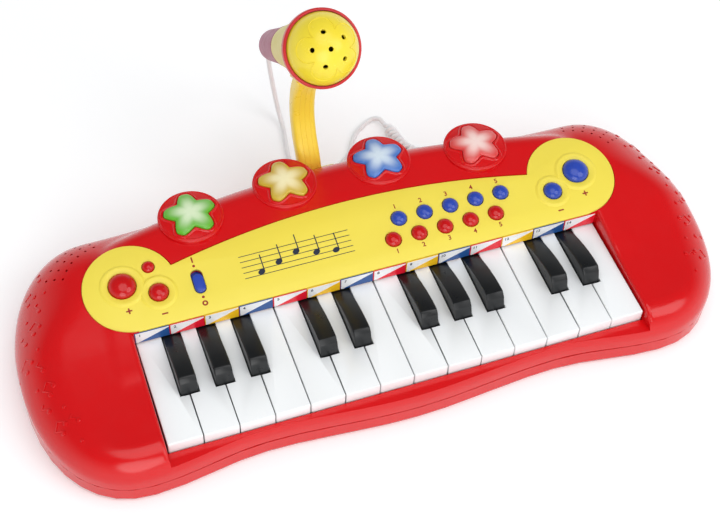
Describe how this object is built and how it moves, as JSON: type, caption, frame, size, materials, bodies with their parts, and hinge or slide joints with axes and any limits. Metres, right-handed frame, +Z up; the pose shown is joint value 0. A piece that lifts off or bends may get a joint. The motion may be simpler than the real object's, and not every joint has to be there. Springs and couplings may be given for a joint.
{
  "type": "toy electronic keyboard",
  "caption": "Curved toy keyboard with hinged keys, sprung buttons and star pads on a sloping panel, a battery door, and a corded microphone resting in a saddle on a rear arm.",
  "frame": {"origin": "middle of the flat underside of the case", "axes": "+X along the keys to the player's right, +Y away from the player, +Z up"},
  "size_m": [0.4018, 0.2483, 0.1686],
  "materials": {
    "case_red": "glossy moulded shell",
    "panel_yellow": "glossy moulded panel",
    "key_white": "smooth moulded keys",
    "key_black": "smooth moulded keys",
    "button_blue": "glossy moulded buttons",
    "button_red": "glossy moulded buttons",
    "star_green": "clear tinted pad",
    "star_yellow": "clear tinted pad",
    "star_blue": "clear tinted pad",
    "star_red": "clear tinted pad",
    "microphone_yellow": "satin moulded shell",
    "microphone_red": "glossy moulded shell",
    "arm_yellow": "satin moulded arm",
    "cord_white": "soft vinyl jacket",
    "board_green": "lacquered circuit board",
    "speaker_black": "painted frame and paper cone",
    "rod_steel": "drawn wire"
  },
  "bodies": {
    "case": {"lower_case": "case_red", "upper_case": "case_red", "control_panel": "panel_yellow", "speaker": "speaker_black", "main_board": "board_green", "key_contact_board": "board_green", "key_pivot_rod": "rod_steel", "microphone_arm": "arm_yellow", "microphone_cord": "cord_white", "microphone_cord_coil": "cord_white", "microphone_cord_end": "cord_white"},
    "microphone": {"microphone_grille": "microphone_yellow", "microphone_ring": "microphone_red", "microphone_handle": "microphone_yellow", "microphone_tail": "microphone_red"},
    "battery_door": {"battery_door": "case_red"},
    "power_switch": {"power_switch": "button_blue"},
    "star_pad_1": {"star_pad_1": "star_green"},
    "star_pad_2": {"star_pad_2": "star_yellow"},
    "star_pad_3": {"star_pad_3": "star_blue"},
    "star_pad_4": {"star_pad_4": "star_red"},
    "volume_up_button": {"volume_up_button": "button_red"},
    "volume_down_button": {"volume_down_button": "button_red"},
    "tempo_up_button": {"tempo_up_button": "button_blue"},
    "tempo_down_button": {"tempo_down_button": "button_blue"},
    "effect_button": {"effect_button": "button_red"},
    "voice_button_1": {"voice_button_1": "button_blue"},
    "voice_button_2": {"voice_button_2": "button_blue"},
    "voice_button_3": {"voice_button_3": "button_blue"},
    "voice_button_4": {"voice_button_4": "button_blue"},
    "voice_button_5": {"voice_button_5": "button_blue"},
    "rhythm_button_1": {"rhythm_button_1": "button_red"},
    "rhythm_button_2": {"rhythm_button_2": "button_red"},
    "rhythm_button_3": {"rhythm_button_3": "button_red"},
    "rhythm_button_4": {"rhythm_button_4": "button_red"},
    "rhythm_button_5": {"rhythm_button_5": "button_red"},
    "white_key_01": {"white_key_01": "key_white"},
    "white_key_02": {"white_key_02": "key_white"},
    "white_key_03": {"white_key_03": "key_white"},
    "white_key_04": {"white_key_04": "key_white"},
    "white_key_05": {"white_key_05": "key_white"},
    "white_key_06": {"white_key_06": "key_white"},
    "white_key_07": {"white_key_07": "key_white"},
    "white_key_08": {"white_key_08": "key_white"},
    "white_key_09": {"white_key_09": "key_white"},
    "white_key_10": {"white_key_10": "key_white"},
    "white_key_11": {"white_key_11": "key_white"},
    "white_key_12": {"white_key_12": "key_white"},
    "white_key_13": {"white_key_13": "key_white"},
    "white_key_14": {"white_key_14": "key_white"},
    "black_key_01": {"black_key_01": "key_black"},
    "black_key_02": {"black_key_02": "key_black"},
    "black_key_03": {"black_key_03": "key_black"},
    "black_key_04": {"black_key_04": "key_black"},
    "black_key_05": {"black_key_05": "key_black"},
    "black_key_06": {"black_key_06": "key_black"},
    "black_key_07": {"black_key_07": "key_black"},
    "black_key_08": {"black_key_08": "key_black"},
    "black_key_09": {"black_key_09": "key_black"},
    "black_key_10": {"black_key_10": "key_black"}
  },
  "joints": [
    {"name": "microphone_lift", "type": "slide", "parent": "case", "child": "microphone", "axis": [0, 0.6639, 0.7478], "range_m": [0, 0.04], "deforming": ["microphone_cord"]},
    {"name": "battery_door_hinge", "type": "hinge", "parent": "case", "child": "battery_door", "pos_m": [0, 0.0604, 0], "axis": [1, 0, 0], "range_deg": [0, 95]},
    {"name": "power_switch_slide", "type": "slide", "parent": "case", "child": "power_switch", "axis": [0, 0.9781, 0.2079], "range_m": [0, 0.003]},
    {"name": "star_pad_1_press", "type": "slide", "parent": "case", "child": "star_pad_1", "axis": [0, 0, -1], "range_m": [0, 0.0012], "stiffness_N_per_m": 500, "springref_m": -0.001},
    {"name": "star_pad_2_press", "type": "slide", "parent": "case", "child": "star_pad_2", "axis": [0, 0, -1], "range_m": [0, 0.0012], "stiffness_N_per_m": 500, "springref_m": -0.001},
    {"name": "star_pad_3_press", "type": "slide", "parent": "case", "child": "star_pad_3", "axis": [0, 0, -1], "range_m": [0, 0.0012], "stiffness_N_per_m": 500, "springref_m": -0.001},
    {"name": "star_pad_4_press", "type": "slide", "parent": "case", "child": "star_pad_4", "axis": [0, 0, -1], "range_m": [0, 0.0012], "stiffness_N_per_m": 500, "springref_m": -0.001},
    {"name": "volume_up_button_press", "type": "slide", "parent": "case", "child": "volume_up_button", "axis": [0, 0.2079, -0.9781], "range_m": [0, 0.0015], "stiffness_N_per_m": 300, "springref_m": -0.001},
    {"name": "volume_down_button_press", "type": "slide", "parent": "case", "child": "volume_down_button", "axis": [0, 0.2079, -0.9781], "range_m": [0, 0.0015], "stiffness_N_per_m": 300, "springref_m": -0.001},
    {"name": "tempo_up_button_press", "type": "slide", "parent": "case", "child": "tempo_up_button", "axis": [0, 0.2079, -0.9781], "range_m": [0, 0.0015], "stiffness_N_per_m": 300, "springref_m": -0.001},
    {"name": "tempo_down_button_press", "type": "slide", "parent": "case", "child": "tempo_down_button", "axis": [0, 0.2079, -0.9781], "range_m": [0, 0.0015], "stiffness_N_per_m": 300, "springref_m": -0.001},
    {"name": "effect_button_press", "type": "slide", "parent": "case", "child": "effect_button", "axis": [0, 0.2079, -0.9781], "range_m": [0, 0.0015], "stiffness_N_per_m": 300, "springref_m": -0.001},
    {"name": "voice_button_1_press", "type": "slide", "parent": "case", "child": "voice_button_1", "axis": [0, 0.2079, -0.9781], "range_m": [0, 0.0015], "stiffness_N_per_m": 300, "springref_m": -0.001},
    {"name": "voice_button_2_press", "type": "slide", "parent": "case", "child": "voice_button_2", "axis": [0, 0.2079, -0.9781], "range_m": [0, 0.0015], "stiffness_N_per_m": 300, "springref_m": -0.001},
    {"name": "voice_button_3_press", "type": "slide", "parent": "case", "child": "voice_button_3", "axis": [0, 0.2079, -0.9781], "range_m": [0, 0.0015], "stiffness_N_per_m": 300, "springref_m": -0.001},
    {"name": "voice_button_4_press", "type": "slide", "parent": "case", "child": "voice_button_4", "axis": [0, 0.2079, -0.9781], "range_m": [0, 0.0015], "stiffness_N_per_m": 300, "springref_m": -0.001},
    {"name": "voice_button_5_press", "type": "slide", "parent": "case", "child": "voice_button_5", "axis": [0, 0.2079, -0.9781], "range_m": [0, 0.0015], "stiffness_N_per_m": 300, "springref_m": -0.001},
    {"name": "rhythm_button_1_press", "type": "slide", "parent": "case", "child": "rhythm_button_1", "axis": [0, 0.2079, -0.9781], "range_m": [0, 0.0015], "stiffness_N_per_m": 300, "springref_m": -0.001},
    {"name": "rhythm_button_2_press", "type": "slide", "parent": "case", "child": "rhythm_button_2", "axis": [0, 0.2079, -0.9781], "range_m": [0, 0.0015], "stiffness_N_per_m": 300, "springref_m": -0.001},
    {"name": "rhythm_button_3_press", "type": "slide", "parent": "case", "child": "rhythm_button_3", "axis": [0, 0.2079, -0.9781], "range_m": [0, 0.0015], "stiffness_N_per_m": 300, "springref_m": -0.001},
    {"name": "rhythm_button_4_press", "type": "slide", "parent": "case", "child": "rhythm_button_4", "axis": [0, 0.2079, -0.9781], "range_m": [0, 0.0015], "stiffness_N_per_m": 300, "springref_m": -0.001},
    {"name": "rhythm_button_5_press", "type": "slide", "parent": "case", "child": "rhythm_button_5", "axis": [0, 0.2079, -0.9781], "range_m": [0, 0.0015], "stiffness_N_per_m": 300, "springref_m": -0.001},
    {"name": "white_key_01_press", "type": "hinge", "parent": "case", "child": "white_key_01", "pos_m": [0, 0.0149, 0.022], "axis": [1, 0, 0], "range_deg": [0, 3], "stiffness_Nm_per_rad": 0.5, "springref_deg": -3.44},
    {"name": "white_key_02_press", "type": "hinge", "parent": "case", "child": "white_key_02", "pos_m": [0, 0.0149, 0.022], "axis": [1, 0, 0], "range_deg": [0, 3], "stiffness_Nm_per_rad": 0.5, "springref_deg": -3.44},
    {"name": "white_key_03_press", "type": "hinge", "parent": "case", "child": "white_key_03", "pos_m": [0, 0.0149, 0.022], "axis": [1, 0, 0], "range_deg": [0, 3], "stiffness_Nm_per_rad": 0.5, "springref_deg": -3.44},
    {"name": "white_key_04_press", "type": "hinge", "parent": "case", "child": "white_key_04", "pos_m": [0, 0.0149, 0.022], "axis": [1, 0, 0], "range_deg": [0, 3], "stiffness_Nm_per_rad": 0.5, "springref_deg": -3.44},
    {"name": "white_key_05_press", "type": "hinge", "parent": "case", "child": "white_key_05", "pos_m": [0, 0.0149, 0.022], "axis": [1, 0, 0], "range_deg": [0, 3], "stiffness_Nm_per_rad": 0.5, "springref_deg": -3.44},
    {"name": "white_key_06_press", "type": "hinge", "parent": "case", "child": "white_key_06", "pos_m": [0, 0.0149, 0.022], "axis": [1, 0, 0], "range_deg": [0, 3], "stiffness_Nm_per_rad": 0.5, "springref_deg": -3.44},
    {"name": "white_key_07_press", "type": "hinge", "parent": "case", "child": "white_key_07", "pos_m": [0, 0.0149, 0.022], "axis": [1, 0, 0], "range_deg": [0, 3], "stiffness_Nm_per_rad": 0.5, "springref_deg": -3.44},
    {"name": "white_key_08_press", "type": "hinge", "parent": "case", "child": "white_key_08", "pos_m": [0, 0.0149, 0.022], "axis": [1, 0, 0], "range_deg": [0, 3], "stiffness_Nm_per_rad": 0.5, "springref_deg": -3.44},
    {"name": "white_key_09_press", "type": "hinge", "parent": "case", "child": "white_key_09", "pos_m": [0, 0.0149, 0.022], "axis": [1, 0, 0], "range_deg": [0, 3], "stiffness_Nm_per_rad": 0.5, "springref_deg": -3.44},
    {"name": "white_key_10_press", "type": "hinge", "parent": "case", "child": "white_key_10", "pos_m": [0, 0.0149, 0.022], "axis": [1, 0, 0], "range_deg": [0, 3], "stiffness_Nm_per_rad": 0.5, "springref_deg": -3.44},
    {"name": "white_key_11_press", "type": "hinge", "parent": "case", "child": "white_key_11", "pos_m": [0, 0.0149, 0.022], "axis": [1, 0, 0], "range_deg": [0, 3], "stiffness_Nm_per_rad": 0.5, "springref_deg": -3.44},
    {"name": "white_key_12_press", "type": "hinge", "parent": "case", "child": "white_key_12", "pos_m": [0, 0.0149, 0.022], "axis": [1, 0, 0], "range_deg": [0, 3], "stiffness_Nm_per_rad": 0.5, "springref_deg": -3.44},
    {"name": "white_key_13_press", "type": "hinge", "parent": "case", "child": "white_key_13", "pos_m": [0, 0.0149, 0.022], "axis": [1, 0, 0], "range_deg": [0, 3], "stiffness_Nm_per_rad": 0.5, "springref_deg": -3.44},
    {"name": "white_key_14_press", "type": "hinge", "parent": "case", "child": "white_key_14", "pos_m": [0, 0.0149, 0.022], "axis": [1, 0, 0], "range_deg": [0, 3], "stiffness_Nm_per_rad": 0.5, "springref_deg": -3.44},
    {"name": "black_key_01_press", "type": "hinge", "parent": "case", "child": "black_key_01", "pos_m": [0, 0.0149, 0.022], "axis": [1, 0, 0], "range_deg": [0, 3], "stiffness_Nm_per_rad": 0.5, "springref_deg": -3.44},
    {"name": "black_key_02_press", "type": "hinge", "parent": "case", "child": "black_key_02", "pos_m": [0, 0.0149, 0.022], "axis": [1, 0, 0], "range_deg": [0, 3], "stiffness_Nm_per_rad": 0.5, "springref_deg": -3.44},
    {"name": "black_key_03_press", "type": "hinge", "parent": "case", "child": "black_key_03", "pos_m": [0, 0.0149, 0.022], "axis": [1, 0, 0], "range_deg": [0, 3], "stiffness_Nm_per_rad": 0.5, "springref_deg": -3.44},
    {"name": "black_key_04_press", "type": "hinge", "parent": "case", "child": "black_key_04", "pos_m": [0, 0.0149, 0.022], "axis": [1, 0, 0], "range_deg": [0, 3], "stiffness_Nm_per_rad": 0.5, "springref_deg": -3.44},
    {"name": "black_key_05_press", "type": "hinge", "parent": "case", "child": "black_key_05", "pos_m": [0, 0.0149, 0.022], "axis": [1, 0, 0], "range_deg": [0, 3], "stiffness_Nm_per_rad": 0.5, "springref_deg": -3.44},
    {"name": "black_key_06_press", "type": "hinge", "parent": "case", "child": "black_key_06", "pos_m": [0, 0.0149, 0.022], "axis": [1, 0, 0], "range_deg": [0, 3], "stiffness_Nm_per_rad": 0.5, "springref_deg": -3.44},
    {"name": "black_key_07_press", "type": "hinge", "parent": "case", "child": "black_key_07", "pos_m": [0, 0.0149, 0.022], "axis": [1, 0, 0], "range_deg": [0, 3], "stiffness_Nm_per_rad": 0.5, "springref_deg": -3.44},
    {"name": "black_key_08_press", "type": "hinge", "parent": "case", "child": "black_key_08", "pos_m": [0, 0.0149, 0.022], "axis": [1, 0, 0], "range_deg": [0, 3], "stiffness_Nm_per_rad": 0.5, "springref_deg": -3.44},
    {"name": "black_key_09_press", "type": "hinge", "parent": "case", "child": "black_key_09", "pos_m": [0, 0.0149, 0.022], "axis": [1, 0, 0], "range_deg": [0, 3], "stiffness_Nm_per_rad": 0.5, "springref_deg": -3.44},
    {"name": "black_key_10_press", "type": "hinge", "parent": "case", "child": "black_key_10", "pos_m": [0, 0.0149, 0.022], "axis": [1, 0, 0], "range_deg": [0, 3], "stiffness_Nm_per_rad": 0.5, "springref_deg": -3.44}
  ]
}
